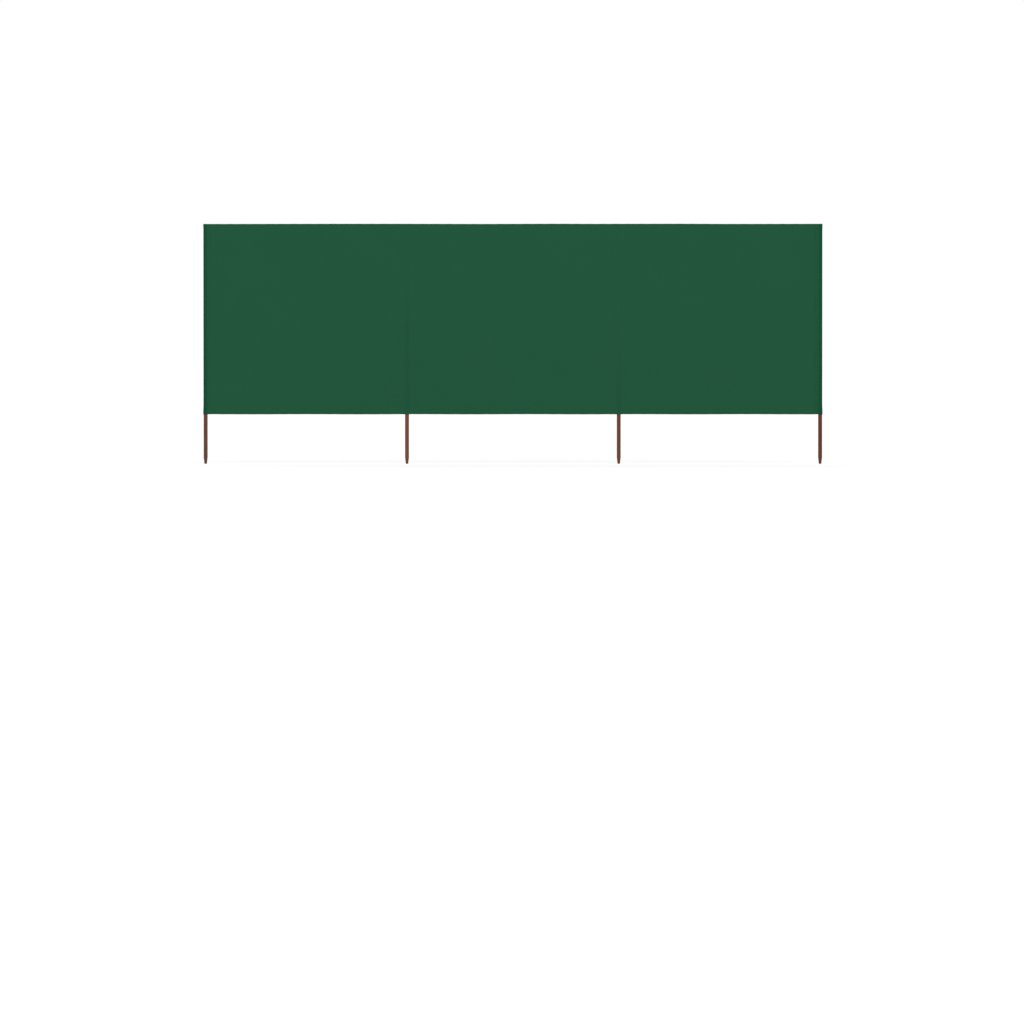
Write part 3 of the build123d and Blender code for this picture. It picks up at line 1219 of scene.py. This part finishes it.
class Stitching:
    # gathers the stitches of one piece
    def __init__(self):
        self.vertices = []
        self.faces = []
        self.count = 0

    def sew(self, sheet, s, z, side, upright, length=stitch["length"]):
        # s and z are the middles of the stitches, side 0 is the outer face and 1 the inner
        half = length / 2
        wide = stitch["width"] / 2
        tall = stitch["height"]
        inner = half - stitch["taper"]
        endDepth = -stitch["endSunk"] * tall
        depth = -stitch["middleSunk"] * tall
        local = [(-half, 0, endDepth), (half, 0, endDepth)]
        for along in (-inner, inner):
            local += [(along, -wide, 0), (along, 0, tall), (along, wide, 0), (along, 0, depth)]
        local = np.array(local)
        along = local[None, :, 0]
        across = local[None, :, 1]
        s, z = np.broadcast_arrays(np.atleast_1d(s).astype(float), np.atleast_1d(z).astype(float))
        placeS = s[:, None] + (across if upright else along)
        placeZ = z[:, None] + (along if upright else across)
        base = surfaceAt(sheet, placeS, placeZ, side)
        n = base + local[None, :, 2] * (1 if side == 0 else -1)
        points = clothPlace(sheet, placeS, placeZ, n)
        # a bead's ends are its vertices 0 and 1, and two rings of four follow
        pattern = []
        for k in range(4):
            after = (k + 1) % 4
            pattern.append([0, 2 + k, 2 + after])
            pattern.append([1, 6 + after, 6 + k])
            pattern.append([2 + k, 6 + k, 6 + after, 2 + after])
        if upright != (side == 1):
            pattern = [face[::-1] for face in pattern]    # a mirror image of a level outer stitch
        for _ in points:
            self.faces += [[self.count + corner for corner in face] for face in pattern]
            self.count += len(local)
        self.vertices.append(points.reshape(-1, 3))

    def level(self, sheet, oneS, otherS, z, side):
        low, high = sorted((oneS, otherS))
        count = max(1, int((high - low) / stitch["pitch"]))
        self.sew(sheet, middlesOf(low, high, count), z, side, False)

    def upright(self, sheet, s, side):
        low, high = clothBottom + stitch["rowStart"], clothTop - stitch["rowStart"]
        count = int((high - low) / stitch["pitch"])
        self.sew(sheet, s, middlesOf(low, high, count), side, True)

    def tack(self, sheet, s, seam):
        # bar tacks at both ends of a seam
        begin = stitch["tackStart"]
        for start, step in ((clothBottom + begin, 1), (clothTop - begin, -1)):
            heights = start + step * stitch["tackPitch"] * np.arange(stitch["tacks"])
            self.sew(sheet, s, heights, 0, False, seam - stitch["tackMargin"])

    def finish(self, name):
        return buildMesh(name, np.concatenate(self.vertices), self.faces, greenThread)


def sOf(sheet, u):
    return float(np.interp(u, sheet["u"], sheet["s"]))


def seamRows(seam):
    return stitch["seamInset"], seam - stitch["seamInset"]


hemLines = [clothBottom + hemHeight - cloth["stitchInset"], clothTop - hemHeight + cloth["stitchInset"]]


def outerStitching(sheet, name):
    work = Stitching()
    side = sheet["side"]
    length = sheet["s"][-1]
    seam = cloth["endSeam"]
    pocketSeam = cloth["pocketSeam"]
    pocketRows = [pocketReach - inset for inset in seamRows(pocketSeam)]
    post = innerPost[side]

    def freeS(distance):
        return distance if side < 0 else length - distance

    def outFrom(u, distance):
        return sOf(sheet, u + side * distance)

    start = seam + stitch["rimGap"]
    work.level(sheet, freeS(start), outFrom(sheet["seamU"], start), clothTop - top["seamDepth"], 0)
    for z in hemLines:
        work.level(sheet, freeS(seam + stitch["hemGap"]), freeS(length), z, 0)
        work.level(sheet, outFrom(sheet["seamU"], 0), outFrom(post, pocketReach), z, 1)
    for inset in seamRows(seam):
        work.upright(sheet, freeS(inset), 0)
        work.upright(sheet, outFrom(sheet["seamU"], inset), 0)
    work.tack(sheet, freeS(seam / 2), seam)
    work.tack(sheet, outFrom(sheet["seamU"], seam / 2), seam)
    for reach in (*pocketRows, -pocketRows[1]):
        work.upright(sheet, outFrom(post, reach), 0)
    work.tack(sheet, outFrom(post, pocketReach - pocketSeam / 2), pocketSeam)
    return work.finish(name)


def middleStitching():
    work = Stitching()
    length = bandMiddle["s"][-1]
    inset = stitch["rowStart"]
    for z in hemLines:
        work.level(bandMiddle, 0, length, z, 0)
        work.level(bandMiddle, inset, length - inset, z, 1)
    reach = pocketReach - stitch["seamInset"]
    for side, post in innerPost.items():
        work.upright(bandMiddle, sOf(bandMiddle, post - side * reach), 0)
    return work.finish("stitching_middle")


def pocketStitching(number):
    work = Stitching()
    sheet = pocketSheets[number]
    length = sheet["s"][-1]
    seam = cloth["pocketSeam"]
    start = seam + stitch["hemGap"]
    for z in (*hemLines, clothTop - top["seamDepth"]):
        work.level(sheet, start, length - start, z, 0)
    for inset in seamRows(seam):
        work.upright(sheet, inset, 0)
        work.upright(sheet, length - inset, 0)
    for s in (seam / 2, length - seam / 2):
        work.tack(sheet, s, seam)
    return work.finish(f"stitching_pocket_{number}")


stitchLeft = outerStitching(bandLeft, "stitching_left")
stitchRight = outerStitching(bandRight, "stitching_right")
stitchMiddle = middleStitching()
stitchPockets = {number: pocketStitching(number) for number in (2, 3)}
print("stitches sewn")


# The outer bands and their stitching are fixed in place, the closed tops and the middle pieces ride on
# their bodies, and the frame's own cloth parts are hidden
def bendAtFold(piece):
    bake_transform(piece)


sleeveLayers = ("fold", "front", "back", "front_web", "back_web")
for side, bay, number, word in ((-1, "left_bay", 1, "left"), (1, "right_bay", 4, "right")):
    band = bandPieces[f"band_{word}"]
    stitching = stitchLeft if side < 0 else stitchRight
    for piece in (band, stitching):
        bendAtFold(piece)
    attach(tops[number], bay)
    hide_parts(f"{word}_panel", f"{word}_top_hem", f"{word}_bottom_hem",
                *[f"end_sleeve_{layer}_{number}" for layer in sleeveLayers])
    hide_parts(f"end_sleeve_cap_{number}")

for piece in (bandPieces["band_middle"], stitchMiddle, *stitchPockets.values(), *pocketPieces.values(),
              tops[2], tops[3]):
    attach(piece, "middle_bay")
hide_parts("middle_panel", "middle_top_hem", "middle_bottom_hem")
for number in (2, 3):
    layers = [f"pocket_{layer}_{number}" for layer in ("back", "left_web", "right_web")]
    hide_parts(*layers)
    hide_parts(f"pocket_cap_{number}")

for sheet, posts, extras in (
    (bandLeft, ["post_1", "post_2"], [stitchLeft, tops[1]]),
    (bandMiddle, ["post_2", "post_3"], [stitchMiddle]),
    (bandRight, ["post_3", "post_4"], [stitchRight, tops[4]]),
):
    piece = bandPieces[sheet["name"]]
for number in (2, 3):
    sheet = pocketSheets[number]
print("pieces joined to their bodies")
